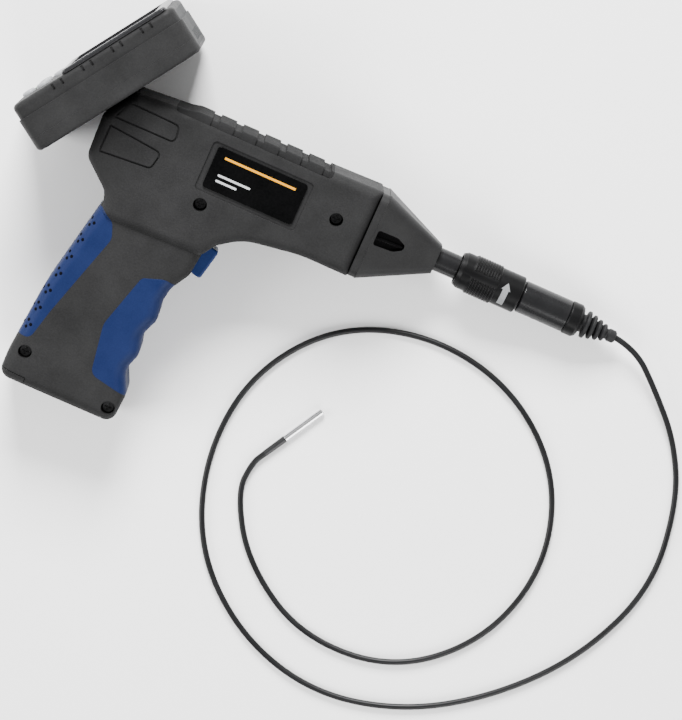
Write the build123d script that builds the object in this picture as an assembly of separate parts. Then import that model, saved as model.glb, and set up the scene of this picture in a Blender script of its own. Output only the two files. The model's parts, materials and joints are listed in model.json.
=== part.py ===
"""Pistol-grip inspection camera: handset, clip-on monitor and plug-in camera probe.

The handset is drawn in its own axes: X forward along the barrel, Y to its left, Z up,
with the origin at the centre of the nose's front face. The monitor is drawn in axes of its
own on the slanted rear face. Both are then laid on the handset's left side, as they rest on
a surface at Z = 0. The cable is drawn in the resting axes, because it lies on that surface.
"""
from build123d import *
from math import cos, pi, radians, sin, tan
import os

os.makedirs("parts", exist_ok=True)

# ---------------------------------------------------------------- driving dimensions, in mm
HEAD_HALF = 20.5        # half the thickness of the head, across Y
GRIP_HALF = 18.0        # half the thickness of the grip
WALL = 3.4              # shell wall, the overmoulded skin included
SKIN = 1.8              # thickness of the overmoulded inserts
GAP = 0.3               # clearance between pieces that move on each other
FIT = 0.08              # radial clearance of a running fit
HEAD_EDGE = 5.0         # rounding of the head's long edges
GRIP_EDGE = 6.0         # rounding of the grip's long edges
NOSE_BACK = -37.5       # where the shells end and the nose cone begins
NOSE_STEP = -33.8       # end of the narrow band behind the nose cone
GRIP_BOTTOM = -137.2    # underside of the grip
RIB_PITCH = 11.7        # pitch of the ribs on the spine strip
FIRST_VALLEY = -66.8    # place of the foremost valley between the ribs
VALLEY_WIDTH = 3.6
VALLEY_DEPTH = 1.0

# resting attitude: the handset lies on its left side, on the monitor, the nose and the grip
REST_ROLL = 4.99        # lift of the handset's top edge, in degrees
REST_PITCH = 5.43       # lift of its rear end, in degrees
NOSE_PLACE = (60.63, 36.98)  # the nose's front centre over the resting surface

# monitor, in its own axes: x up along its long side, y to the left, z towards the viewer
MON_ANGLE = 56.0        # slope of the monitor against the barrel, in degrees
MON_ALONG = -86.3       # its middle, measured along the slope from the nose
MON_OUT = 147.7         # its back face, measured square to the slope from the nose
MON_L = 92.0
MON_W = 70.0
MON_T = 25.0
MON_SEAM = 6.8          # height of the rear shell
MON_STEP = 17.3         # height where the front shell steps in
MON_GAP = 1.4           # gap between the monitor's back and the handset's slanted face
MON_WALL = 2.4
MON_CORNER = 7.0

CABLE_R = 1.5
TIP_R = 1.7
TIP_BORE = 1.25         # seat of the lens and the lights in the tip
TIP_LENGTH = 23.0
LENS_DEPTH = 3.0
LENS_R = 0.7
SLEEVE_LENGTH = 12.5
CABLE_HEIGHT = 1.7      # the lying cable's centre, so that its thicker tip touches the surface

RAIL_SPAN = (-11.0, 7.0)            # the rail's ends along the slope, from the monitor's middle
RAIL_SCREWS = [(x, y) for x in (-7.8, 3.8) for y in (-7.4, 7.4)]

MONITOR_PLANE = Plane(
    origin=(
        MON_ALONG * cos(radians(MON_ANGLE)) - MON_OUT * sin(radians(MON_ANGLE)),
        0,
        MON_ALONG * sin(radians(MON_ANGLE)) + MON_OUT * cos(radians(MON_ANGLE)),
    ),
    x_dir=(cos(radians(MON_ANGLE)), 0, sin(radians(MON_ANGLE))),
    z_dir=(-sin(radians(MON_ANGLE)), 0, cos(radians(MON_ANGLE))),
)

# the cable's route seen from above, as (forward of the nose, to its side, height)
CABLE_ROUTE = [
    (108.0, -1.5, 8.2),
    (124.0, -15.0, 5.6),
    (144.0, -35.0, 2.9),
    (158.0, -62.0, CABLE_HEIGHT),
    (164.0, -106.0, CABLE_HEIGHT),
    (147.0, -150.0, CABLE_HEIGHT),
    (117.0, -186.0, CABLE_HEIGHT),
    (78.0, -213.0, CABLE_HEIGHT),
    (32.0, -224.0, CABLE_HEIGHT),
    (-13.0, -212.0, CABLE_HEIGHT),
    (-49.0, -181.0, CABLE_HEIGHT),
    (-65.0, -136.0, CABLE_HEIGHT),
    (-60.0, -89.0, CABLE_HEIGHT),
    (-31.0, -51.0, CABLE_HEIGHT),
    (14.0, -36.0, CABLE_HEIGHT),
    (61.0, -44.0, CABLE_HEIGHT),
    (98.0, -74.0, CABLE_HEIGHT),
    (112.0, -119.0, CABLE_HEIGHT),
    (99.0, -165.0, CABLE_HEIGHT),
    (63.0, -197.0, CABLE_HEIGHT),
    (14.0, -200.0, CABLE_HEIGHT),
    (-24.0, -177.0, CABLE_HEIGHT),
    (-43.0, -147.0, CABLE_HEIGHT),
    (-42.0, -130.5, CABLE_HEIGHT),
    (-32.0, -113.0, CABLE_HEIGHT),
]

# ---------------------------------------------------------------- outlines, as (x, z, radius)
HEAD_OUTLINE = [
    (-164.6, 16.8, 1.5),
    (-139.0, 18.9, 8.0),
    (-134.0, 20.2, 8.0),
    (-62.0, 20.4, 30.0),
    (NOSE_BACK, 21.1, 0.8),
    (NOSE_BACK, -23.6, 0.8),
    (-62.0, -23.5, 60.0),
    (-90.5, -28.0, 30.0),
    (-101.3, -36.0, 3.0),
    (-106.0, -43.5, 5.2),
    (-157.0, -45.5, 5.2),
    (-161.0, -33.0, 6.0),
    (-175.3, -21.0, 7.0),
    (-176.0, 0.5, 2.0),
]
GRIP_OUTLINE = [
    (-104.5, -33.0, 5.2),
    (-107.0, -55.0, 5.5),
    (-112.6, -64.5, 9.0),
    (-113.8, -72.2, 9.0),
    (-112.4, -81.5, 9.0),
    (-116.2, -91.0, 9.0),
    (-113.6, -100.5, 9.0),
    (-116.9, -110.0, 9.0),
    (-111.6, -121.0, 8.0),
    (-112.6, GRIP_BOTTOM, 5.5),
    (-172.8, GRIP_BOTTOM, 5.5),
    (-173.0, -124.0, 60.0),
    (-169.5, -87.0, 120.0),
    (-161.0, -45.3, 9.0),
    (-158.0, -33.0, 5.2),
]
REAR_INSERT = [
    (-158.5, -40.8, 2.0),
    (-151.0, -45.8, 5.0),
    (-148.2, -53.2, 6.0),
    (-161.5, -97.6, 60.0),
    (-165.5, -114.0, 4.0),
    (-182.0, -114.0, 0.5),
    (-182.0, -40.8, 0.5),
]
FRONT_INSERT = [
    (-127.5, -64.6, 3.0),
    (-117.0, -60.8, 8.0),
    (-100.0, -63.6, 0.5),
    (-100.0, -124.0, 0.5),
    (-131.5, -118.0, 5.0),
    (-135.6, -92.8, 12.0),
]
SPINE_REGION = [
    (-145.0, 16.6, 2.0),
    (-148.0, 40.0, 0.5),
    (-62.0, 40.0, 0.5),
    (-63.5, 16.6, 2.0),
]
TRIGGER_OUTLINE = [
    (-98.2, -39.6, 1.8),
    (-101.6, -55.4, 1.2),
    (-117.0, -52.1, 0.5),
    (-113.4, -36.4, 0.5),
]
DOOR_CAP = [
    (-185.0, GRIP_BOTTOM + 5.0, 0.2),
    (-160.0, GRIP_BOTTOM + 4.0, 0.2),
    (-160.0, GRIP_BOTTOM - 6.0, 0.2),
    (-185.0, GRIP_BOTTOM - 6.0, 0.2),
]
UPPER_PAD = [
    (-166.5, 11.9, 1.0),
    (-140.0, 11.0, 3.0),
    (-138.4, 1.8, 3.0),
    (-171.0, 1.8, 1.0),
]
LOWER_PAD = [
    (-171.0, -1.8, 1.0),
    (-142.4, -4.6, 3.0),
    (-144.4, -14.2, 3.0),
    (-171.0, -16.4, 1.0),
]
NOSE_SLOT = [
    (-32.5, 3.5, 1.2),
    (-22.0, 3.3, 6.0),
    (-15.2, -0.2, 2.0),
    (-22.0, -3.9, 6.0),
    (-32.5, -4.1, 1.2),
]

SCREWS = [(-116.2, -20.2), (-53.4, -0.2), (-165.0, -121.0), (-117.3, -130.2)]
SCREW_R = 1.5
SCREW_HEAD_R = 2.8
RECESS_R = 3.35
RECESS_FLOOR = 11.5     # distance of each recess floor from the handset's middle plane
BOSS_R = 4.9

# trigger
TRIGGER_HALF = 7.0

# battery bay, in axes of its own leaning with the grip
BAY_PLACE = (-143.0, GRIP_BOTTOM + 2.8)
BAY_LEAN = 5.2          # lean of the cells, in degrees
CELL_R = 7.1
CELL_L = 49.5
CELL_SPACING = 14.8
BAY_HALF = 14.9         # half the door's plate, and of the opening's height across Y
DOOR_FRONT = -119.0
DOOR_TOP = GRIP_BOTTOM + 2.8        # upper side of the door's plate

# camera probe and its socket, along the barrel's axis
SOCKET_STEP = 11.4      # where the socket narrows to go into the lock ring
SOCKET_END = 18.0
SOCKET_R = 6.0
SOCKET_NOSE_R = 5.2     # its radius inside the lock ring
RING_START = 11.8
SOCKET_BORE = 4.6
PIN_CIRCLE = 2.4
PIN_R = 0.5
NECK_R = 6.3
RING_BORE = 7.4         # the ring's bore round the socket, which it must clear as it turns
BODY_START = 45.3
RELIEF_END = 96.5

BAY_PLANE = Plane(
    origin=(BAY_PLACE[0], 0, BAY_PLACE[1]),
    x_dir=(cos(radians(BAY_LEAN)), 0, -sin(radians(BAY_LEAN))),
    z_dir=(sin(radians(BAY_LEAN)), 0, cos(radians(BAY_LEAN))),
)


# ---------------------------------------------------------------- helpers
def outline(points):
    """A closed outline with its own rounding at each corner."""
    corners = [(x, z) for x, z, r in points]
    return make_face(FilletPolyline(*corners, radius=[r for x, z, r in points], close=True))


def slab(face, half, centre=0.0):
    """A side outline drawn in X and Z, given its thickness to both sides of y = centre."""
    return extrude(Plane.XZ.offset(-centre) * face, half, both=True)


def side_edges(shape, half):
    """The edges of the two flat sides of a slab."""
    return [e for e in shape.edges() if abs(abs(e.center().Y) - half) < 1e-3]


def rounded_slab(face, half, radius):
    solid = slab(face, half)
    return fillet(side_edges(solid, half), radius)


def box_at(x0, x1, y0, y1, z0, z1):
    return Pos((x0 + x1) / 2, (y0 + y1) / 2, (z0 + z1) / 2) * Box(x1 - x0, y1 - y0, z1 - z0)


def rod_x(x0, x1, r, y=0.0, z=0.0):
    return Pos((x0 + x1) / 2, y, z) * Rot(0, 90, 0) * Cylinder(r, x1 - x0)


def rod_y(y0, y1, r, x, z):
    return Pos(x, (y0 + y1) / 2, z) * Rot(90, 0, 0) * Cylinder(r, y1 - y0)


def rod_z(z0, z1, r, x=0.0, y=0.0):
    return Pos(x, y, (z0 + z1) / 2) * Cylinder(r, z1 - z0)


def plate(length, width, corner, z0, z1, x=0.0, y=0.0):
    """A flat plate with rounded corners between two heights."""
    face = Pos(x, y, z0) * RectangleRounded(length, width, corner)
    return extrude(face, z1 - z0)


def turned(points):
    """A body turned about X from an outline of (x, r) points."""
    return revolve(make_face(Polyline(*points, close=True)), axis=Axis.X)


def around(count, radius, start=45.0):
    """Evenly spaced (y, z) places on a circle about X."""
    step = 360.0 / count
    angles = [radians(start + step * i) for i in range(count)]
    return [(radius * cos(a), radius * sin(a)) for a in angles]


def group(shapes):
    """Several separate solids kept as one sub-part."""
    return Compound(children=[s for shape in shapes for s in shape.solids()])


def only(shape):
    """The one solid of a result, checked to be in one piece."""
    solids = shape.solids()
    if len(solids) != 1:
        raise ValueError(f"expected one solid, found {len(solids)}")
    return solids[0]


# ---------------------------------------------------------------- handset
def handset_block(inset):
    """The head and grip as one solid, shrunk by the inset on every side."""
    head = outline(HEAD_OUTLINE)
    grip = outline(GRIP_OUTLINE)
    if inset:
        head = offset(head, -inset, kind=Kind.INTERSECTION)
        grip = offset(grip, -inset, kind=Kind.INTERSECTION)
    head_part = rounded_slab(head, HEAD_HALF - inset, HEAD_EDGE - inset)
    grip_part = rounded_slab(grip, GRIP_HALF - inset, GRIP_EDGE - inset)
    return head_part + grip_part


def nose_section(inset):
    """The tapered nose as a solid, shrunk by the inset, with its narrow band behind."""
    back = Plane.YZ.offset(NOSE_STEP) * Pos(0, -1.25) * RectangleRounded(
        39.8 - 2 * inset, 44.3 - 2 * inset, 6.0 - 0.6 * inset
    )
    front = Plane.YZ * Pos(0, -0.1) * RectangleRounded(15.2 - 2 * inset, 14.6 - 2 * inset, 3.5 - 0.6 * inset)
    cone = loft([back, front])
    band = Plane.YZ.offset(NOSE_BACK) * Pos(0, -1.25) * RectangleRounded(
        39.0 - 2 * inset, 43.5 - 2 * inset, 5.6 - 0.6 * inset
    )
    return cone + extrude(band, NOSE_STEP - NOSE_BACK)


def nose_cone():
    slot = slab(outline(NOSE_SLOT), 30)
    rib = slab(Pos(-24, -0.4) * Rectangle(20, 1.3), 30) & nose_section(1.0)
    pocket = (nose_section(0) - nose_section(2.0)) & slot
    cavity = nose_section(WALL) & box_at(-40, -6, -30, 30, -40, 40)
    cone = nose_section(0) - cavity - (pocket - rib)
    return only(cone - rod_x(-8, 1, SOCKET_R))


def insert_piece(region, outer, core):
    """An overmoulded piece: the body's skin inside a side outline."""
    return (outer - core) & slab(outline(region), 30)


def spine_strip(outer, core):
    """The soft strip over the head's top, with shallow valleys that follow its rounding."""
    strip = insert_piece(SPINE_REGION, outer, core)
    valley_skin = outer - handset_block(VALLEY_DEPTH)
    for i in range(6):
        middle = FIRST_VALLEY - RIB_PITCH * i
        half = VALLEY_WIDTH / 2
        strip -= valley_skin & box_at(middle - half, middle + half, -30, 30, 16.5, 30)
    return only(strip)


def rear_insert(outer, core):
    return only(insert_piece(REAR_INSERT, outer, core))


def front_insert(outer, core):
    return only(insert_piece(FRONT_INSERT, outer, core))


def pad_grooves():
    """The fine grooves that outline the raised pads on the rear of each side."""
    cuts = []
    for points in (UPPER_PAD, LOWER_PAD):
        face = outline(points)
        ring = face - offset(face, -0.9, kind=Kind.INTERSECTION)
        cuts += [slab(ring, 2.0, side * (HEAD_HALF - 0.7 + 2.0)) for side in (-1, 1)]
    return cuts


def plate_recess(side):
    """The shallow recess for the side plate; side is -1 on the right, +1 on the left."""
    face = Pos(-96.0, -1.3) * RectangleRounded(52.4, 25.2, 2.0)
    return slab(face, 2.0, side * (HEAD_HALF - 0.6 + 2.0))


def side_plate(side):
    """The glossy plate that lies in its recess and stands a little proud."""
    face = Pos(-95.7, -0.9) * RectangleRounded(46.9, 21.0, 1.5)
    return only(slab(face, 0.4, side * (HEAD_HALF - 0.2)))


def bay(x0, x1, y0, y1, z0, z1):
    """A box in the leaning axes of the battery bay."""
    return BAY_PLANE * box_at(x0, x1, y0, y1, z0, z1)


def bay_walls():
    """The ribs in front of, behind and above the cells."""
    return [
        bay(15.1, 16.4, -30, 30, 3.6, 58.5),
        bay(-16.4, -15.1, -30, 30, 3.6, 58.5),
        bay(-16.4, 16.4, -30, 30, 57.2, 58.5),
    ]


def trigger_opening():
    face = offset(outline(TRIGGER_OUTLINE), GAP, kind=Kind.INTERSECTION)
    return slab(face, TRIGGER_HALF + GAP)


def monitor_rail():
    """The T-shaped rail on the slanted rear face, with its base let into the shell."""
    x0, x1 = RAIL_SPAN
    base = box_at(x0, x1, -10, 10, -MON_GAP - 1.7, -MON_GAP)
    neck = box_at(x0, x1, -4.4, 4.4, -MON_GAP, 2.4)
    head = box_at(x0, x1, -7.7, 7.7, 2.3, 4.5)
    rail = fillet((neck + head).edges().filter_by(Axis.Z), 1.0) + base
    for x, y in RAIL_SCREWS:
        rail -= rod_z(-2.5, 0, 2.0, x, y) + rod_z(-4, -2, 1.1, x, y)
    return only(MONITOR_PLANE * rail)


def rail_screws():
    screws = [rod_z(-2.5, -1.5, 1.9, x, y) + rod_z(-4.7, -2.5, 1.1, x, y) for x, y in RAIL_SCREWS]
    return group([MONITOR_PLANE * s for s in screws])


def shell(outer, core, hollow):
    """The whole handset shell before it is split into halves."""
    body = outer - hollow
    walls = [w & hollow for w in bay_walls()]
    rear_switch_wall = box_at(-129.0, -127.0, -30, 30, -55, -40) & hollow
    for rib in walls + [rear_switch_wall]:
        body += rib
    for x, z in SCREWS:
        body += rod_y(-30, 30, BOSS_R, x, z) & hollow
    for region in (REAR_INSERT, FRONT_INSERT, SPINE_REGION):
        body -= insert_piece(region, outer, core)
    for cut in pad_grooves():
        body -= cut
    for side in (-1, 1):
        body -= plate_recess(side)
    for x, z in SCREWS:
        body -= rod_y(-30, -RECESS_FLOOR, RECESS_R, x, z)
        body -= rod_y(-RECESS_FLOOR - 1, 0, SCREW_R + 0.1, x, z)
        body -= rod_y(-0.1, 9, SCREW_R, x, z)
    body -= trigger_opening()
    cap_cut = offset(outline(DOOR_CAP), GAP, kind=Kind.INTERSECTION)
    body -= slab(cap_cut, 30)
    body -= box_at(-162, DOOR_FRONT + GAP, -BAY_HALF - GAP, BAY_HALF + GAP, GRIP_BOTTOM - 2, DOOR_TOP + 0.8)
    body -= box_at(DOOR_FRONT - 3.3, -114.5, -8.3, 8.3, DOOR_TOP - 0.6, DOOR_TOP + 1.2)
    body -= MONITOR_PLANE * box_at(*RAIL_SPAN, -10, 10, -MON_GAP - 1.7, 0)
    for x, y in RAIL_SCREWS:
        body -= MONITOR_PLANE * rod_z(-4.7, -3, 1.1, x, y)
    for y, z in board_posts():
        body += box_at(y - 2, y + 2, 4.6, HEAD_HALF - WALL + 0.5, z - 2, z + 2)
    return body


def board_posts():
    return [(-140.0, 8.0), (-72.0, 8.0), (-100.0, -8.0)]


def half_shell(body, side):
    """One half of the shell; side is -1 on the right, +1 on the left."""
    half = box_at(-200, 50, min(0, side * 40), max(0, side * 40), -160, 60)
    return body & half


def trigger():
    block = slab(outline(TRIGGER_OUTLINE), TRIGGER_HALF)
    front = [e for e in side_edges(block, TRIGGER_HALF) if e.center().X > -104]
    block = fillet(front, 1.0)
    flange_corners = [(-112.2, -35.6), (-114.0, -35.6), (-117.4, -54.0), (-115.8, -54.0)]
    flange = slab(Polygon(*flange_corners, align=None), 8.6)
    stem = rod_x(-120.0, -114.0, 2.4, 0, -46.5)
    return only(block + flange + stem)


def trigger_switch():
    return only(box_at(-127.0, -123.4, -5, 5, -51.5, -42.5))


def case_screws():
    screws = []
    for x, z in SCREWS:
        head = rod_y(-RECESS_FLOOR - 2.2, -RECESS_FLOOR, SCREW_HEAD_R, x, z)
        drive = box_at(x - 1.8, x + 1.8, -RECESS_FLOOR - 3, -RECESS_FLOOR - 1.2, z - 0.4, z + 0.4)
        cross = box_at(x - 0.4, x + 0.4, -RECESS_FLOOR - 3, -RECESS_FLOOR - 1.2, z - 1.8, z + 1.8)
        screws.append(head + rod_y(-RECESS_FLOOR - 0.1, 8.0, SCREW_R, x, z) - drive - cross)
    return group(screws)


def socket_tube():
    tube = rod_x(-14, SOCKET_STEP, SOCKET_R) + rod_x(-14, SOCKET_END, SOCKET_NOSE_R) + rod_x(-14, -11, 8.4)
    return only(tube - rod_x(-15, SOCKET_END + 1, SOCKET_BORE))


def contact_block():
    block = rod_x(-10, 6, SOCKET_BORE)
    for y, z in around(4, PIN_CIRCLE):
        block -= rod_x(-1, 7, PIN_R + 0.1, y, z)
    return only(block)


def main_board():
    return only(box_at(-148, -64, 3.0, 4.6, -12, 13))


def transmitter():
    return only(box_at(-142, -114, -1.0, 3.0, -8, 10))


def board_antenna():
    return only(rod_x(-108, -70, 1.0, 2.0, 9))


def cell(i):
    """One AA cell with its raised cap; neighbours point opposite ways."""
    x = CELL_SPACING * (-0.5 if i < 2 else 0.5)
    y = CELL_SPACING * (-0.5 if i % 2 else 0.5)
    foot = 4.0
    body = rod_z(foot, foot + CELL_L, CELL_R, x, y)
    body = fillet(body.edges(), 0.8)
    cap = rod_z(foot + CELL_L - 0.1, foot + CELL_L + 1.0, 2.7, x, y)
    if i in (1, 2):
        cap = rod_z(foot - 1.0, foot + 0.1, 2.7, x, y)
    return only(BAY_PLANE * (body + cap))


def upper_contacts():
    return only(bay(-14.5, 14.5, -14.0, 14.0, 55.2, 57.2))


def battery_door(outer, hollow):
    """The sliding door: a plate under the cells, a front tab and the grip's rear bottom corner."""
    cap = (outer - hollow) & slab(outline(DOOR_CAP), 30)
    door_plate = outer & box_at(-161, DOOR_FRONT, -BAY_HALF, BAY_HALF, GRIP_BOTTOM - 2, DOOR_TOP)
    tab = box_at(DOOR_FRONT - 3, -115.0, -8, 8, DOOR_TOP - 0.3, DOOR_TOP + 0.9)
    return only(cap + door_plate + tab)


def door_contacts():
    """Two contact strips on the door, each joining a pair of cells."""
    strips = []
    for side in (-1, 1):
        y = side * CELL_SPACING / 2
        strips.append(box_at(-156, -129, y - 5.5, y + 5.5, DOOR_TOP, DOOR_TOP + 0.6))
    return group(strips)


# ---------------------------------------------------------------- camera probe
def plug():
    return only(rod_x(8.5, 30, SOCKET_BORE - FIT))


def plug_pins():
    return group([rod_x(1.0, 8.5, PIN_R, y, z) for y, z in around(4, PIN_CIRCLE)])


def seal_ring():
    return only(rod_x(SOCKET_END + 0.3, SOCKET_END + 1.3, 5.8) - rod_x(SOCKET_END, 28, SOCKET_BORE - FIT))


def lock_ring():
    """The turning collar: a bore that clears the socket and a running fit on the neck."""
    body = turned(
        [
            (RING_START, RING_BORE), (RING_START, 8.1), (13.6, 9.0), (13.9, 9.3), (18.3, 9.3), (18.6, 9.7),
            (32.0, 9.7), (32.3, 9.3), (44.1, 9.3), (44.6, 8.8), (44.6, NECK_R + FIT),
            (31.8, NECK_R + FIT), (31.8, RING_BORE),
        ]
    )
    for i in range(10):
        x = 18.7 + 1.36 * i
        body += turned([(x, 9.4), (x + 0.25, 10.2), (x + 0.75, 10.2), (x + 1.0, 9.4)])
    for y, z in around(4, 13.1, 172.0):
        body -= rod_x(12.4, 32.4, 4.1, y, z)
    return only(body)


def ring_arrow():
    shaft = Pos(36.6, -3.2) * Rectangle(3.0, 8.0)
    head = Polygon((34.2, 0.6), (39.0, 0.6), (36.6, 4.2), align=None)
    skin = rod_x(33, 40, 9.55) - rod_x(32, 41, 9.3)
    return only(skin & slab(shaft + head, 6.0, -10.0))


def connector_body():
    body = turned(
        [
            (27.3, 0), (27.3, NECK_R), (28.4, NECK_R), (28.4, 7.0), (31.4, 7.0), (31.4, NECK_R),
            (BODY_START, NECK_R), (BODY_START, 7.6), (BODY_START + 0.6, 8.1), (69.9, 8.1),
            (70.5, 7.6), (70.5, 0),
        ]
    )
    return only(body - rod_x(27, 30, SOCKET_BORE - FIT))


def connector_collar():
    return only(
        turned([(70.5, 0), (70.5, 8.0), (71.0, 8.4), (75.6, 8.4), (77.0, 7.4), (77.5, 6.2), (77.5, 0)])
    )


def strain_relief():
    """A stepped bush whose discs shrink towards the cable."""
    outline_points = [(77.5, 0), (77.5, 4.6), (79.2, 4.6)]
    for x, r in ((80.6, 7.0), (83.8, 6.2), (87.0, 5.3), (90.0, 4.4)):
        outline_points += [(x - 0.9, r - 0.4), (x - 0.5, r), (x + 0.5, r), (x + 0.9, r - 0.6), (x + 1.1, 2.9)]
    outline_points += [(92.0, 2.7), (92.8, 3.3), (RELIEF_END - 0.8, 3.2), (RELIEF_END, 2.4), (RELIEF_END, 0)]
    return only(turned(outline_points))


# ---------------------------------------------------------------- cable and camera tip
def cable_points(start):
    """The route's corners in the resting axes, from the strain relief to the camera tip."""
    side = [(NOSE_PLACE[0] + x, NOSE_PLACE[1] + y, z) for x, y, z in CABLE_ROUTE]
    return [Vector(*start)] + [Vector(*p) for p in side]


def bend_radii(points):
    """The widest easy bend at each corner that the shorter run beside it allows."""
    radii = []
    for before, corner, after in zip(points, points[1:], points[2:]):
        arriving = corner - before
        leaving = after - corner
        turn = radians(arriving.get_angle(leaving))
        radii.append(0.45 * min(arriving.length, leaving.length) / tan(turn / 2))
    return radii


def cable(points):
    radii = bend_radii(points)
    print("cable bends, mm:", [round(r, 1) for r in radii])
    path = FilletPolyline(*points, radius=radii)
    start = Plane(origin=points[0], z_dir=points[1] - points[0])
    tube = sweep(start * Circle(CABLE_R), path=path)
    print("cable length, mm:", round(path.length, 1), "tube:", round(tube.volume / (pi * CABLE_R**2), 1))
    return only(tube)


def tip_plane(points):
    """Axes at the camera tip's base with z along the tip."""
    return Plane(origin=points[-1], z_dir=points[-1] - points[-2])


def tip_sleeve(points):
    """A shrunk tube over the cable's end, widening a little towards the tip."""
    half_section = [(-SLEEVE_LENGTH, 0), (-SLEEVE_LENGTH, CABLE_R + 0.1), (0, TIP_R), (0, 0)]
    cone = revolve(Plane.XZ * Polygon(*[(r, z) for z, r in half_section], align=None), Axis.Z)
    return only(tip_plane(points) * (cone - rod_z(-SLEEVE_LENGTH - 1, 1, CABLE_R)))


def tip_housing(points):
    tube = rod_z(0, TIP_LENGTH, TIP_R) - rod_z(TIP_LENGTH - LENS_DEPTH, TIP_LENGTH + 1, TIP_BORE)
    return only(tip_plane(points) * chamfer(tube.edges().group_by(Axis.Z)[0], 0.2))


def tip_lens(points):
    return only(tip_plane(points) * rod_z(TIP_LENGTH - LENS_DEPTH, TIP_LENGTH - 0.4, LENS_R))


def tip_lights(points):
    seat = rod_z(TIP_LENGTH - LENS_DEPTH, TIP_LENGTH - 0.6, TIP_BORE)
    return only(tip_plane(points) * (seat - rod_z(TIP_LENGTH - 4, TIP_LENGTH, LENS_R)))


# ---------------------------------------------------------------- monitor
BUTTON_STEP = 9.0        # spacing of the outer buttons round the middle one
BUTTON_X = -29.3
BUTTONS = {
    "button_ok": (BUTTON_X, 0.0),
    "button_up": (BUTTON_X + BUTTON_STEP, 0.0),
    "button_down": (BUTTON_X - BUTTON_STEP, 0.0),
    "button_left": (BUTTON_X, BUTTON_STEP),
    "button_right": (BUTTON_X, -BUTTON_STEP),
}
BUTTON_R = 3.5
WINDOW = (12.6, 54.0, 62.0)     # middle, height and width of the display opening
MON_BOSSES = [(x, y) for x in (-41.6, 41.6) for y in (-30.3, 30.3)]
BOSS_TOP = MON_T - 8.5
BOARD_TOP = MON_T - 8.0
BUTTON_BASE = MON_T - 4.6
COVER_POCKET = (-12.0, 18.0, 8.6, 15.8)
CAP_DEPTH = 1.7          # thickness of the light cap let into the upper end
LIGHT_PLACE = (-36.0, 22.0)
SPEAKER_PLACE = (-30.0, -22.0)


def cap_pocket():
    return box_at(MON_L / 2 - CAP_DEPTH, MON_L / 2 + 1, -27, 27, 2.6, MON_T - 2.6)


def monitor_block():
    """The monitor's outer shape below and above the small step near its front."""
    rim = plate(MON_L - 1.6, MON_W - 1.6, MON_CORNER - 0.8, MON_STEP - 0.2, MON_T)
    rim = fillet(rim.faces().sort_by(Axis.Z)[-1].edges(), 2.5)
    return plate(MON_L, MON_W, MON_CORNER, MON_SEAM, MON_STEP) + rim


def rear_cover():
    """The shell half next to the handset, with the slot that takes the rail."""
    wall2 = 2 * MON_WALL
    slot_end = RAIL_SPAN[1] + 0.4
    body = plate(MON_L, MON_W, MON_CORNER, 0, MON_SEAM)
    body = fillet(body.faces().sort_by(Axis.Z)[0].edges(), 2.2)
    body -= plate(MON_L - wall2, MON_W - wall2, MON_CORNER - MON_WALL, MON_WALL, MON_SEAM + 1)
    body += box_at(-MON_L / 2 + 1, slot_end + 3.6, -10.5, 10.5, 0.5, MON_SEAM - 0.1)
    body -= box_at(-60, slot_end, -4.8, 4.8, -1, 2.2)
    body -= box_at(-60, slot_end, -8.1, 8.1, 1.9, 4.9)
    for x, y in MON_BOSSES:
        body += rod_z(1.0, MON_SEAM, 3.2, x, y)
        body -= rod_z(-1, 3.0, 2.6, x, y) + rod_z(2, 9, 1.3, x, y)
    return only(MONITOR_PLANE * (body - cap_pocket()))


def front_cover():
    """The shell half with the display, stepped in slightly near its front."""
    inner = (MON_L - 2 * MON_WALL - 1.6, MON_W - 2 * MON_WALL - 1.6)
    body = monitor_block() - plate(*inner, 3.8, MON_SEAM - 1, MON_T - MON_WALL)
    body -= plate(WINDOW[1], WINDOW[2], 2.0, MON_T - 5, MON_T + 1, WINDOW[0])
    for x, y in BUTTONS.values():
        body -= rod_z(MON_T - 5, MON_T + 1, BUTTON_R + GAP, x, y)
    body -= rod_z(MON_T - 5, MON_T + 1, 1.5, *LIGHT_PLACE)
    for x, y in MON_BOSSES:
        body += rod_z(MON_SEAM, BOSS_TOP, 2.9, x, y)
        body -= rod_z(MON_SEAM - 1, BOSS_TOP - 1.3, 1.3, x, y)
    for y in (-MON_W / 2, MON_W / 2):
        for i in range(4):
            x = 32.0 - 16.6 * i
            body -= box_at(x - 0.6, x + 0.6, y - 1.6, y + 1.6, MON_T - 3.8, MON_T - 1.0)
            body -= box_at(x - 5.6, x - 4.4, y - 1.6, y + 1.6, MON_T - 3.8, MON_T - 1.0)
    x0, x1, z0, z1 = COVER_POCKET
    body -= box_at(x0, x1, MON_W / 2 - 1.4, MON_W / 2 + 1, z0, z1)
    for i in range(5):
        y = SPEAKER_PLACE[1] - 5 + 2.5 * i
        body -= box_at(SPEAKER_PLACE[0] - 5, SPEAKER_PLACE[0] + 5, y - 0.5, y + 0.5, MON_T - 4, MON_T + 1)
    return only(MONITOR_PLANE * (body - cap_pocket()))


def end_cap():
    """The light plate let into the upper end, with a row of vent slots near its back edge."""
    whole = monitor_block() + plate(MON_L, MON_W, MON_CORNER, 0, MON_SEAM)
    cap = whole & cap_pocket()
    for i in range(9):
        y = -16 + 4.0 * i
        cap -= box_at(MON_L / 2 - 0.8, MON_L / 2 + 1, y - 0.8, y + 0.8, 4.6, 9.8)
    return only(MONITOR_PLANE * cap)


def display_bezel():
    frame = plate(58.4, 67.0, 3.0, MON_T, MON_T + 1.9, WINDOW[0] + 0.3)
    frame = chamfer(frame.faces().sort_by(Axis.Z)[-1].edges(), 0.8)
    return only(MONITOR_PLANE * (frame - plate(48.6, 58.0, 1.0, MON_T - 1, MON_T + 3, WINDOW[0])))


def display_window():
    return only(MONITOR_PLANE * plate(WINDOW[1], WINDOW[2], 2.0, MON_T - 1.6, MON_T, WINDOW[0]))


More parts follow.
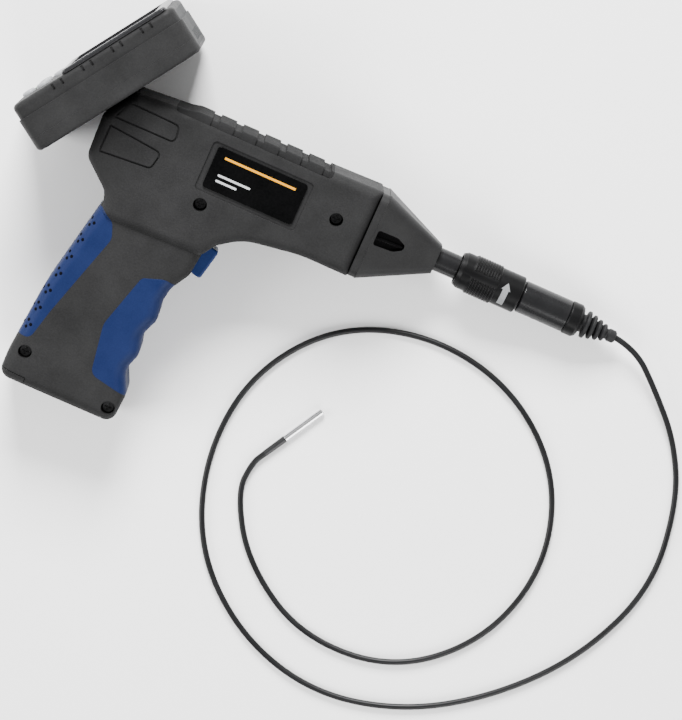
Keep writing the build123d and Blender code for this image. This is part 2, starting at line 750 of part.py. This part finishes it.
def display_panel():
    return only(MONITOR_PLANE * plate(51.0, 61.0, 1.0, MON_T - 6.2, MON_T - 1.6, WINDOW[0]))


def monitor_button(place):
    x, y = place
    button = rod_z(BUTTON_BASE, MON_T + 1.7, BUTTON_R, x, y)
    button = fillet(button.edges().sort_by(Axis.Z)[-1], 1.2)
    return only(MONITOR_PLANE * (button + rod_z(BUTTON_BASE, BUTTON_BASE + 1, BUTTON_R + 0.6, x, y)))


def power_light():
    return only(MONITOR_PLANE * rod_z(MON_T - 4, MON_T + 0.3, 1.5, *LIGHT_PLACE))


def monitor_board():
    return only(MONITOR_PLANE * box_at(-42, 42, -24, 24, BOARD_TOP - 1.6, BOARD_TOP))


def receiver():
    return only(MONITOR_PLANE * box_at(14, 36, -20, 0, BOARD_TOP - 5.4, BOARD_TOP - 1.6))


def flat_battery():
    battery = box_at(-38, 8, -17, 17, MON_SEAM + 0.8, BOARD_TOP - 2.4)
    return only(MONITOR_PLANE * fillet(battery.edges().filter_by(Axis.X), 1.5))


def speaker():
    return only(MONITOR_PLANE * rod_z(BOARD_TOP + 0.6, MON_T - MON_WALL, 6.5, *SPEAKER_PLACE))


def cover_screws():
    screws = [rod_z(1.0, 3.0, 2.3, x, y) + rod_z(2.9, BOSS_TOP - 2.0, 1.2, x, y) for x, y in MON_BOSSES]
    return group([MONITOR_PLANE * s for s in screws])


def jack_cover():
    x0, x1, z0, z1 = COVER_POCKET
    cover = box_at(x0, x1, MON_W / 2 - 1.4, MON_W / 2 - 0.1, z0, z1)
    return only(MONITOR_PLANE * cover)


# ---------------------------------------------------------------- assembly
def resting(height):
    """Lays a piece drawn in the handset's axes on its left side at its resting tilt."""
    place = Pos(NOSE_PLACE[0], NOSE_PLACE[1], height)
    return place * Rot(0, REST_PITCH, 0) * Rot(-90 + REST_ROLL, 0, 0)


def build_handset():
    outer = handset_block(0)
    core = handset_block(SKIN)
    hollow = handset_block(WALL)
    body = shell(outer, core, hollow)
    pieces = {
        "right_shell": only(half_shell(body, -1)),
        "left_shell": only(half_shell(body, 1)),
        "nose_cone": nose_cone(),
        "spine_strip": spine_strip(outer, core),
        "right_plate": side_plate(-1),
        "left_plate": side_plate(1),
        "rear_insert": rear_insert(outer, core),
        "front_insert": front_insert(outer, core),
        "trigger": trigger(),
        "trigger_switch": trigger_switch(),
        "case_screws": case_screws(),
        "socket_tube": socket_tube(),
        "contact_block": contact_block(),
        "main_board": main_board(),
        "transmitter": transmitter(),
        "board_antenna": board_antenna(),
        "upper_contacts": upper_contacts(),
        "battery_door": battery_door(outer, hollow),
        "door_contacts": door_contacts(),
        "monitor_rail": monitor_rail(),
        "rail_screws": rail_screws(),
    }
    for i in range(4):
        pieces[f"cell_{i + 1}"] = cell(i)
    return pieces


def build_monitor():
    pieces = {
        "rear_cover": rear_cover(),
        "front_cover": front_cover(),
        "end_cap": end_cap(),
        "display_bezel": display_bezel(),
        "display_window": display_window(),
        "display_panel": display_panel(),
        "power_light": power_light(),
        "monitor_board": monitor_board(),
        "receiver": receiver(),
        "flat_battery": flat_battery(),
        "speaker": speaker(),
        "cover_screws": cover_screws(),
        "jack_cover": jack_cover(),
    }
    for name, place in BUTTONS.items():
        pieces[name] = monitor_button(place)
    return pieces


def build_probe():
    return {
        "plug": plug(),
        "plug_pins": plug_pins(),
        "seal_ring": seal_ring(),
        "lock_ring": lock_ring(),
        "ring_arrow": ring_arrow(),
        "connector_body": connector_body(),
        "connector_collar": connector_collar(),
        "strain_relief": strain_relief(),
    }


def build_all():
    pieces = {**build_handset(), **build_monitor(), **build_probe()}
    flat = resting(0)
    height = -min((flat * piece).bounding_box().min.Z for piece in pieces.values())
    laid = resting(height)
    parts = {name: laid * piece for name, piece in pieces.items()}
    start = (laid * Pos(RELIEF_END, 0, 0)).position
    points = cable_points(start)
    parts["cable"] = cable(points)
    parts["tip_sleeve"] = tip_sleeve(points)
    parts["tip_housing"] = tip_housing(points)
    parts["tip_lens"] = tip_lens(points)
    parts["tip_lights"] = tip_lights(points)
    print("nose height:", round(height, 3), "cable start:", [round(v, 2) for v in start])
    return parts


for name, piece in build_all().items():
    export_step(piece, f"parts/{name}.step")
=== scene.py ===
"""Looks of the inspection camera: camera, lights, materials and the detailed pieces."""
import bpy
import bmesh
import json
from math import cos, pi, radians, sin
from mathutils import Matrix, Vector


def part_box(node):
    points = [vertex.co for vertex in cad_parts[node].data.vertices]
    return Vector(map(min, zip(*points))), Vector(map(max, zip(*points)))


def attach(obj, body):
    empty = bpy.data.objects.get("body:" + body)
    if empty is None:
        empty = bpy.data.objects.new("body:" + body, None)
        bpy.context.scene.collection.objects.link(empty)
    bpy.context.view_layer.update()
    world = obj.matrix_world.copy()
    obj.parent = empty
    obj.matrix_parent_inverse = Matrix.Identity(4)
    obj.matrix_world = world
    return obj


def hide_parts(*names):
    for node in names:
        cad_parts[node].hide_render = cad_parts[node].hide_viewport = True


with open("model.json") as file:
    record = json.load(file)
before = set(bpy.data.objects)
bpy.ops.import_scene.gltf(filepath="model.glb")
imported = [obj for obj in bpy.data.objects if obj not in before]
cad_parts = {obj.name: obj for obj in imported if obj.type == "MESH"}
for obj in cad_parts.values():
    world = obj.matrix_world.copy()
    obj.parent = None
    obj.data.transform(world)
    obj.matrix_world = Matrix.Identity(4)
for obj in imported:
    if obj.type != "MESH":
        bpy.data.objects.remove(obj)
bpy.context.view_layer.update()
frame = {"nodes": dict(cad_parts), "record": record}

MM = 0.001
JOINTS = {joint["name"]: joint for joint in frame["record"]["behaviour"]["joints"]}

# the handset's own axes: X along the barrel, Y to its left, Z up, from the nose's front centre
BARREL = Vector(JOINTS["probe_pull"]["axis"])
SLOPE = Vector(JOINTS["monitor_slide"]["axis"])
LEFT = SLOPE.cross(BARREL).normalized()
UP = BARREL.cross(LEFT).normalized()
NOSE = Vector(JOINTS["ring_turn"]["pos_m"]) - 30 * MM * BARREL

# the cable's route, as in the CAD model: forward of the nose, to its side, height
CABLE_HEIGHT = 1.7
RELIEF_END = 96.5
CABLE_DIAMETER = 3.0
SLEEVE_LENGTH = 12.5
CABLE_ROUTE = [
    (108.0, -1.5, 8.2),
    (124.0, -15.0, 5.6),
    (144.0, -35.0, 2.9),
    (158.0, -62.0, CABLE_HEIGHT),
    (164.0, -106.0, CABLE_HEIGHT),
    (147.0, -150.0, CABLE_HEIGHT),
    (117.0, -186.0, CABLE_HEIGHT),
    (78.0, -213.0, CABLE_HEIGHT),
    (32.0, -224.0, CABLE_HEIGHT),
    (-13.0, -212.0, CABLE_HEIGHT),
    (-49.0, -181.0, CABLE_HEIGHT),
    (-65.0, -136.0, CABLE_HEIGHT),
    (-60.0, -89.0, CABLE_HEIGHT),
    (-31.0, -51.0, CABLE_HEIGHT),
    (14.0, -36.0, CABLE_HEIGHT),
    (61.0, -44.0, CABLE_HEIGHT),
    (98.0, -74.0, CABLE_HEIGHT),
    (112.0, -119.0, CABLE_HEIGHT),
    (99.0, -165.0, CABLE_HEIGHT),
    (63.0, -197.0, CABLE_HEIGHT),
    (14.0, -200.0, CABLE_HEIGHT),
    (-24.0, -177.0, CABLE_HEIGHT),
    (-43.0, -147.0, CABLE_HEIGHT),
    (-42.0, -130.5, CABLE_HEIGHT),
    (-32.0, -113.0, CABLE_HEIGHT),
]


def handset_point(x, y, z):
    """A point given in the handset's axes in mm, in the row frame in metres."""
    return NOSE + MM * (x * BARREL + y * LEFT + z * UP)


# ---------------------------------------------------------------- camera
VIEW_DISTANCE = 1.5
VIEW_WIDTH = 0.334
VIEW_TURN = radians(24.0)
VIEW_LEAN = Vector((0.02, 0.076, 1.0))
VIEW_MIDDLE = Vector((-22.2, -64.4, 20.0))      # from the nose in X and Y, and above the floor
SENSOR_WIDTH = 36.0


def add_camera():
    """A distant camera that looks almost straight down on the lying object."""
    middle = Vector((NOSE.x, NOSE.y, 0)) + MM * VIEW_MIDDLE
    back = VIEW_LEAN.normalized()
    right = Vector((-sin(VIEW_TURN), cos(VIEW_TURN), 0)).cross(back).normalized()
    up = back.cross(right)
    data = bpy.data.cameras.new("camera")
    data.sensor_fit = "HORIZONTAL"
    data.sensor_width = SENSOR_WIDTH
    data.lens = SENSOR_WIDTH * VIEW_DISTANCE / VIEW_WIDTH
    camera = bpy.data.objects.new("camera", data)
    camera.matrix_world = Matrix.Translation(middle + VIEW_DISTANCE * back) @ Matrix(
        (right, up, back)
    ).transposed().to_4x4()
    bpy.context.scene.collection.objects.link(camera)
    bpy.context.scene.camera = camera


add_camera()


def cable_curve():
    """The lying cable as a smooth curve over its route, straight in the sleeve before the tip."""
    curve = bpy.data.curves.new("camera_cable", "CURVE")
    curve.dimensions = "3D"
    curve.bevel_depth = CABLE_DIAMETER / 2 * MM
    curve.bevel_resolution = 6
    curve.resolution_u = 24
    points = [handset_point(RELIEF_END, 0, 0)]
    points += [Vector((NOSE.x + x * MM, NOSE.y + y * MM, z * MM)) for x, y, z in CABLE_ROUTE]
    tip_run = (points[-1] - points[-2]).normalized()
    points.insert(len(points) - 1, points[-1] - SLEEVE_LENGTH * MM * tip_run)
    spline = curve.splines.new("NURBS")
    spline.points.add(len(points) - 1)
    for corner, point in zip(spline.points, points):
        corner.co = (*point, 1.0)
    spline.order_u = 3
    spline.use_endpoint_u = True
    cable = bpy.data.objects.new("camera_cable", curve)
    bpy.context.scene.collection.objects.link(cable)
    return cable


# ---------------------------------------------------------------- materials
def node_at(tree, kind, **values):
    """A shader node with its named input sockets set."""
    node = tree.nodes.new(kind)
    for name, value in values.items():
        node.inputs[name].default_value = value
    return node


def noise(tree, scale, detail):
    """Noise over the piece's own coordinates."""
    place = tree.nodes.new("ShaderNodeTexCoord")
    texture = node_at(tree, "ShaderNodeTexNoise", Scale=scale, Detail=detail, Roughness=0.6)
    tree.links.new(place.outputs["Object"], texture.inputs["Vector"])
    return texture.outputs["Fac"]


def ranged(tree, value, low, high):
    """The middle of a noise value's range, spread between low and high."""
    node = node_at(tree, "ShaderNodeMapRange", **{"From Min": 0.3, "From Max": 0.7})
    node.inputs["To Min"].default_value = low
    node.inputs["To Max"].default_value = high
    tree.links.new(value, node.inputs["Value"])
    return node.outputs["Result"]


PATCH_SCALE = 55.0      # broad patches of slight wear
PATCH_DETAIL = 6.0
GRAIN_DETAIL = 3.0
EDGE_SAMPLES = 4


def finish(
    name, color, rough, grain, depth, bump,
    spread=0.12, metallic=0.0, edge=0.0004, wear=0.15, transmission=0.0, specular=0.35,
):
    """A surface with fine grain, uneven roughness, softened edges and slight patches of wear."""
    material = bpy.data.materials.new(name)
    material.use_nodes = True
    tree = material.node_tree
    shader = tree.nodes["Principled BSDF"]
    shader.inputs["Metallic"].default_value = metallic
    shader.inputs["Transmission Weight"].default_value = transmission
    shader.inputs["Specular IOR Level"].default_value = specular
    patches = noise(tree, PATCH_SCALE, PATCH_DETAIL)
    fine = noise(tree, grain, GRAIN_DETAIL)
    tone = tree.nodes.new("ShaderNodeMix")
    tone.data_type = "RGBA"
    tone.inputs["A"].default_value = (*[c * (1 - wear) for c in color], 1)
    tone.inputs["B"].default_value = (*[min(1, c * (1 + wear) + 0.002) for c in color], 1)
    blend = tree.nodes.new("ShaderNodeMath")
    blend.operation = "ADD"
    blend.use_clamp = True
    tree.links.new(ranged(tree, patches, 0.0, 0.6), blend.inputs[0])
    tree.links.new(ranged(tree, fine, -0.1, 0.4), blend.inputs[1])
    tree.links.new(blend.outputs[0], tone.inputs["Factor"])
    tree.links.new(tone.outputs["Result"], shader.inputs["Base Color"])
    uneven = ranged(tree, patches, rough * (1 - spread), rough * (1 + spread))
    tree.links.new(uneven, shader.inputs["Roughness"])
    rounding = node_at(tree, "ShaderNodeBevel", Radius=edge)
    rounding.samples = EDGE_SAMPLES
    relief = node_at(tree, "ShaderNodeBump", Strength=bump, Distance=depth)
    tree.links.new(fine, relief.inputs["Height"])
    tree.links.new(rounding.outputs["Normal"], relief.inputs["Normal"])
    tree.links.new(relief.outputs["Normal"], shader.inputs["Normal"])
    return material


# every surface, with its colour, roughness, and the spacing, depth and strength of its grain
SURFACES = {
    "shell_plastic": dict(
        color=(0.0148, 0.0148, 0.015), rough=0.6, grain=1300.0, depth=0.00018, bump=0.8,
        wear=0.24, specular=0.06,
    ),
    "nose_plastic": dict(
        color=(0.015, 0.015, 0.0152), rough=0.45, grain=1500.0, depth=0.00012, bump=0.6,
        wear=0.24, specular=0.08,
    ),
    "monitor_plastic": dict(
        color=(0.0155, 0.0155, 0.0157), rough=0.5, grain=1400.0, depth=0.00016, bump=0.7,
        wear=0.24, specular=0.07,
    ),
    "spine_rubber": dict(
        color=(0.0095, 0.0095, 0.0097), rough=0.7, grain=1300.0, depth=0.00018, bump=0.8,
        wear=0.24, specular=0.03,
    ),
    "blue_rubber": dict(
        color=(0.005, 0.0115, 0.05), rough=0.5, grain=1600.0, depth=0.0001, bump=0.5,
        specular=0.08,
    ),
    "trigger_plastic": dict(
        color=(0.0075, 0.023, 0.1), rough=0.35, grain=1400.0, depth=0.00003, bump=0.3,
        specular=0.15,
    ),
    "plate_gloss": dict(
        color=(0.0005, 0.0005, 0.0006), rough=0.2, grain=900.0, depth=0.00001, bump=0.1,
        specular=0.05,
    ),
    "connector_gloss": dict(
        color=(0.006, 0.006, 0.0065), rough=0.26, grain=900.0, depth=0.00001, bump=0.1,
        specular=0.22,
    ),
    "ring_plastic": dict(
        color=(0.003, 0.003, 0.0032), rough=0.34, grain=1500.0, depth=0.00003, bump=0.3,
        specular=0.1,
    ),
    "arrow_silver": dict(
        color=(0.2, 0.205, 0.21), rough=0.5, grain=2500.0, depth=0.00004, bump=0.5,
        wear=0.4, metallic=0.2,
    ),
    "relief_rubber": dict(
        color=(0.009, 0.009, 0.0095), rough=0.5, grain=1500.0, depth=0.00003, bump=0.3,
        specular=0.15,
    ),
    "cable_jacket": dict(
        color=(0.005, 0.005, 0.0055), rough=0.4, grain=1700.0, depth=0.00003, bump=0.3,
        edge=0.0, specular=0.2,
    ),
    "sleeve_black": dict(
        color=(0.008, 0.008, 0.009), rough=0.42, grain=1700.0, depth=0.00004, bump=0.4,
    ),
    "tip_steel": dict(
        color=(0.72, 0.72, 0.73), rough=0.24, grain=1800.0, depth=0.00001, bump=0.2,
        metallic=1.0, edge=0.0002,
    ),
    "lens_glass": dict(
        color=(0.10, 0.12, 0.16), rough=0.06, grain=900.0, depth=0.000005, bump=0.1,
        transmission=0.5,
    ),
    "light_ring": dict(color=(0.82, 0.80, 0.66), rough=0.3, grain=900.0, depth=0.00001, bump=0.2),
    "screw_steel": dict(
        color=(0.035, 0.035, 0.036), rough=0.35, grain=2000.0, depth=0.00002, bump=0.3,
        metallic=0.8,
    ),
    "contact_steel": dict(
        color=(0.6, 0.6, 0.61), rough=0.28, grain=2000.0, depth=0.00001, bump=0.2,
        metallic=1.0,
    ),
    "board_green": dict(color=(0.02, 0.14, 0.06), rough=0.35, grain=900.0, depth=0.00003, bump=0.3),
    "shield_tin": dict(
        color=(0.5, 0.5, 0.5), rough=0.35, grain=1200.0, depth=0.00002, bump=0.2,
        metallic=1.0,
    ),
    "cell_wrap": dict(color=(0.06, 0.06, 0.08), rough=0.3, grain=800.0, depth=0.00002, bump=0.2),
    "pack_wrap": dict(color=(0.12, 0.14, 0.16), rough=0.35, grain=800.0, depth=0.00004, bump=0.3),
    "cap_grey": dict(
        color=(0.04, 0.041, 0.042), rough=0.65, grain=1300.0, depth=0.00012, bump=0.5,
        specular=0.04,
    ),
    "bezel_plastic": dict(
        color=(0.010, 0.010, 0.011), rough=0.26, grain=1200.0, depth=0.00002, bump=0.2,
    ),
    "window_glass": dict(
        color=(0.004, 0.004, 0.005), rough=0.1, grain=600.0, depth=0.000005, bump=0.05,
        specular=0.3,
    ),
    "panel_dark": dict(color=(0.01, 0.01, 0.015), rough=0.2, grain=800.0, depth=0.00001, bump=0.1),
    "button_silver": dict(
        color=(0.26, 0.265, 0.275), rough=0.35, grain=1600.0, depth=0.00002, bump=0.2,
    ),
    "light_green": dict(
        color=(0.1, 0.45, 0.15), rough=0.2, grain=900.0, depth=0.00001, bump=0.1,
        transmission=0.3,
    ),
    "brass_pins": dict(
        color=(0.7, 0.5, 0.2), rough=0.28, grain=1500.0, depth=0.00001, bump=0.2,
        metallic=1.0,
    ),
    "switch_black": dict(
        color=(0.012, 0.012, 0.012), rough=0.4, grain=1300.0, depth=0.00003, bump=0.3,
    ),
    "seal_black": dict(color=(0.01, 0.01, 0.01), rough=0.5, grain=1300.0, depth=0.00003, bump=0.3),
}
FINISHES = {name: finish(name, **surface) for name, surface in SURFACES.items()}

# surfaces of the small added pieces, each with the slot that it belongs to
EXTRA_SURFACES = {
    "amber_print": ("plate_gloss", dict(
        color=(0.62, 0.27, 0.01), rough=0.3, grain=1200.0, depth=0.00001, bump=0.2,
    )),
    "pale_print": ("plate_gloss", dict(
        color=(0.42, 0.43, 0.44), rough=0.35, grain=1200.0, depth=0.00001, bump=0.2,
    )),
    "grip_dot": ("blue_rubber", dict(
        color=(0.001, 0.0012, 0.003), rough=0.6, grain=1500.0, depth=0.00003, bump=0.3,
        specular=0.02,
    )),
    "icon_dark": ("button_silver", dict(
        color=(0.03, 0.03, 0.035), rough=0.45, grain=1500.0, depth=0.00001, bump=0.2,
    )),
}
EXTRAS = {name: (slot, finish(name, **surface)) for name, (slot, surface) in EXTRA_SURFACES.items()}


def paint_nodes():
    """Gives each CAD piece the surface of its own slot."""
    slots = {part["node"]: part["material_slot"] for part in frame["record"]["subparts"]}
    for node, piece in frame["nodes"].items():
        piece.data.materials.clear()
        piece.data.materials.append(FINISHES[slots[node]])


NOSE_STEP = -33.8       # where the nose's taper begins
NOSE_HALF = 19.9        # half its width there
NOSE_TAPER = 0.364      # how fast each side closes in towards the front
SLOT_X = (-33.0, -15.0)         # a region round the slot in each side of the nose
SLOT_Z = (-4.3, 3.7)
SLOT_DEPTH = 0.4        # how far under the side a face has to be


def handset_place(point):
    """A point of the row frame as handset axes in mm."""
    offset = (point - NOSE) / MM
    return offset.dot(BARREL), offset.dot(LEFT), offset.dot(UP)


def paint_slot_shade():
    """Painted shade: deep black on the faces inside the slots in the nose's sides, standing in for the
    shade in these recesses.
    """
    nose = frame["nodes"]["nose_cone"]
    # painted shade: the slot's inner faces get the near-black plate surface
    nose.data.materials.append(FINISHES["plate_gloss"])
    for face in nose.data.polygons:
        x, y, z = handset_place(nose.matrix_world @ face.center)
        below_side = NOSE_HALF - NOSE_TAPER * (x - NOSE_STEP) - SLOT_DEPTH
        if SLOT_X[0] < x < SLOT_X[1] and SLOT_Z[0] < z < SLOT_Z[1] and abs(y) < below_side:
            face.material_index = 1


paint_nodes()
paint_slot_shade()
bpy.context.view_layer.update()


# ---------------------------------------------------------------- small pieces
PRINT = 0.05            # thickness of a printed mark


def new_piece(name, mesh, body, kind):
    """An added piece that moves with a body, with its surface."""
    slot_name, material = EXTRAS[kind]
    mesh.materials.append(material)
    piece = bpy.data.objects.new(name, mesh)
    bpy.context.scene.collection.objects.link(piece)
    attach(piece, body)
    return piece


def flat_piece(outline, origin, across, up, out):
    """A printed mark as a thin raised shape from an outline in mm, laid on a surface."""
    mesh = bpy.data.meshes.new("print")
    shape = bmesh.new()
    corners = [shape.verts.new(origin + MM * (u * across + v * up)) for u, v in outline]
    face = shape.faces.new(corners)
    face.normal_update()
    if face.normal.dot(out) < 0:
        face.normal_flip()
    top = bmesh.ops.extrude_face_region(shape, geom=[face])["geom"]
    moved = [part for part in top if isinstance(part, bmesh.types.BMVert)]
    bmesh.ops.translate(shape, verts=moved, vec=PRINT * MM * out)
    bmesh.ops.recalc_face_normals(shape, faces=shape.faces)
    shape.to_mesh(mesh)
    shape.free()
    return mesh


def circle(radius, count=40):
    angles = [2 * pi * i / count for i in range(count)]
    return [(radius * cos(a), radius * sin(a)) for a in angles]


def bar(x0, x1, y, half, steps=8):
    """A bar with round ends."""
    angles = [-pi / 2 + pi * i / steps for i in range(steps + 1)]
    right = [(x1 + half * cos(a), y + half * sin(a)) for a in angles]
    left = [(x0 - half * cos(a), y - half * sin(a)) for a in angles]
    return right + left


PLATE_OUT = 20.7        # the side plates' outer faces, from the handset's middle
PLATE_X = -95.7         # the plates' middle
PLATE_Z = -0.9
SINK = 0.01             # how deep a printed mark starts in the surface
BAR_HALF = 0.55         # half the height of a short bar


def plate_print(side):
    """A plain bar along a side plate's upper edge and two short bars under it."""
    out = side * LEFT
    across = BARREL * (1 if side < 0 else -1)
    origin = handset_point(PLATE_X, side * (PLATE_OUT - SINK), PLATE_Z)
    marks = [
        ("bar_long", [(-18.5, 5.6), (18.5, 5.6), (18.5, 6.8), (-18.5, 6.8)], "amber_print"),
        ("bar_upper", bar(-17.9, -2.0, -2.6, BAR_HALF), "pale_print"),
        ("bar_lower", bar(-17.9, -8.0, -5.4, BAR_HALF), "pale_print"),
    ]
    label = "right" if side < 0 else "left"
    for name, outline, kind in marks:
        mesh = flat_piece(outline, origin, across, UP, out)
        new_piece(f"{label}_{name}", mesh, "handset", kind)


def surface_at(node, start, direction):
    """Where a line meets a CAD piece, and the surface's direction there."""
    piece = frame["nodes"][node]
    to_local = piece.matrix_world.inverted()
    local_start = to_local @ start
    local_way = (to_local.to_3x3() @ direction).normalized()
    hit, place, normal, _ = piece.ray_cast(local_start, local_way)
    if not hit:
        return None
    return piece.matrix_world @ place, (piece.matrix_world.to_3x3() @ normal).normalized()


GRIP_DOTS = 7
DOT_SPACING = 1.8
DOT_RADIUS = 0.85
DOT_FLATNESS = 0.3      # a stud's height against its radius
DOT_GROUP = ((1, 0), (-1, 0), (0, 1), (0, -1), (-2.4, 0.4))
PAST_SIDE = 40          # a start for a search line, well outside the handset


def dimple(shape, place, normal):
    """A shallow round stud on a surface."""
    turn = normal.to_track_quat("Z", "Y").to_matrix().to_4x4()
    flat = Matrix.Diagonal((1, 1, DOT_FLATNESS, 1))
    matrix = Matrix.Translation(place) @ turn @ flat
    bmesh.ops.create_uvsphere(shape, u_segments=14, v_segments=8, radius=DOT_RADIUS * MM, matrix=matrix)


def grip_dots(side):
    """Groups of small dots in a row down the rear insert."""
    shape = bmesh.new()
    for i in range(GRIP_DOTS):
        share = i / (GRIP_DOTS - 1)
        x = -161.0 - 11.5 * share + 3.0 * share * share
        z = -49.5 - 58.0 * share
        for u, v in DOT_GROUP:
            start = handset_point(x + DOT_SPACING * u, side * PAST_SIDE, z + DOT_SPACING * v)
            found = surface_at("rear_insert", start, -side * LEFT)
            if found:
                dimple(shape, *found)
    mesh = bpy.data.meshes.new("grip_dots")
    shape.to_mesh(mesh)
    shape.free()
    for face in mesh.polygons:
        face.use_smooth = True
    new_piece("grip_dots_right" if side < 0 else "grip_dots_left", mesh, "handset", "grip_dot")


ICON_R = 1.3
ICON_TURNS = {
    "button_ok": 0,
    "button_up": 0,
    "button_down": pi,
    "button_left": -pi / 2,
    "button_right": pi / 2,
}
OUTSIDE = 0.02          # a start for a search line, in front of the buttons


def button_icon(node, turn):
    """A triangle that points the button's way, or a disc on the middle one."""
    low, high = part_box(node)
    face_out = SLOPE.cross(LEFT).normalized()
    middle = (Vector(low) + Vector(high)) / 2
    place, _ = surface_at(node, middle + OUTSIDE * face_out, -face_out)
    across = cos(turn) * LEFT + sin(turn) * SLOPE
    up = -sin(turn) * LEFT + cos(turn) * SLOPE
    triangle = [(-ICON_R, -0.8), (ICON_R, -0.8), (0.0, 1.4)]
    outline = circle(ICON_R) if node == "button_ok" else triangle
    mesh = flat_piece(outline, place - SINK * MM * face_out, across, up, face_out)
    new_piece(f"{node}_icon", mesh, node, "icon_dark")


for side in (-1, 1):
    plate_print(side)
    grip_dots(side)
for node, turn in ICON_TURNS.items():
    button_icon(node, turn)


# ---------------------------------------------------------------- cable
cable = cable_curve()
cable.data.materials.append(FINISHES["cable_jacket"])
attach(cable, "probe")
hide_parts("cable")


# ---------------------------------------------------------------- floor and lights
FLOOR_HALF = 3.0


def floor():
    """A plain pale floor at the height that the object lies on."""
    mesh = bpy.data.meshes.new("floor")
    corners = [(x * FLOOR_HALF, y * FLOOR_HALF, 0) for x, y in ((-1, -1), (1, -1), (1, 1), (-1, 1))]
    mesh.from_pydata(corners, [], [(0, 1, 2, 3)])
    piece = bpy.data.objects.new("floor", mesh)
    bpy.context.scene.collection.objects.link(piece)
    material = finish(
        "floor", color=(0.97, 0.97, 0.97), rough=0.7, grain=600.0, depth=0.00002, bump=0.1,
        spread=0.05, edge=0.0, wear=0.01,
    )
    mesh.materials.append(material)


floor()


def area_light(name, place, size, power):
    """A square light that faces the object."""
    data = bpy.data.lights.new(name, "AREA")
    data.size = size
    data.energy = power
    light = bpy.data.objects.new(name, data)
    light.location = place
    light.rotation_euler = (-Vector(place)).to_track_quat("-Z", "Y").to_euler()
    bpy.context.scene.collection.objects.link(light)


area_light("key", place=(-0.5, 1.3, 1.0), size=0.7, power=108)
area_light("fill", place=(1.0, -1.0, 0.9), size=1.0, power=36)
area_light("side", place=(-1.3, -0.6, 0.9), size=0.8, power=28)

world = bpy.data.worlds.new("world")
bpy.context.scene.world = world
world.use_nodes = True
world.node_tree.nodes["Background"].inputs["Color"].default_value = (1, 1, 1, 1)
world.node_tree.nodes["Background"].inputs["Strength"].default_value = 0.62
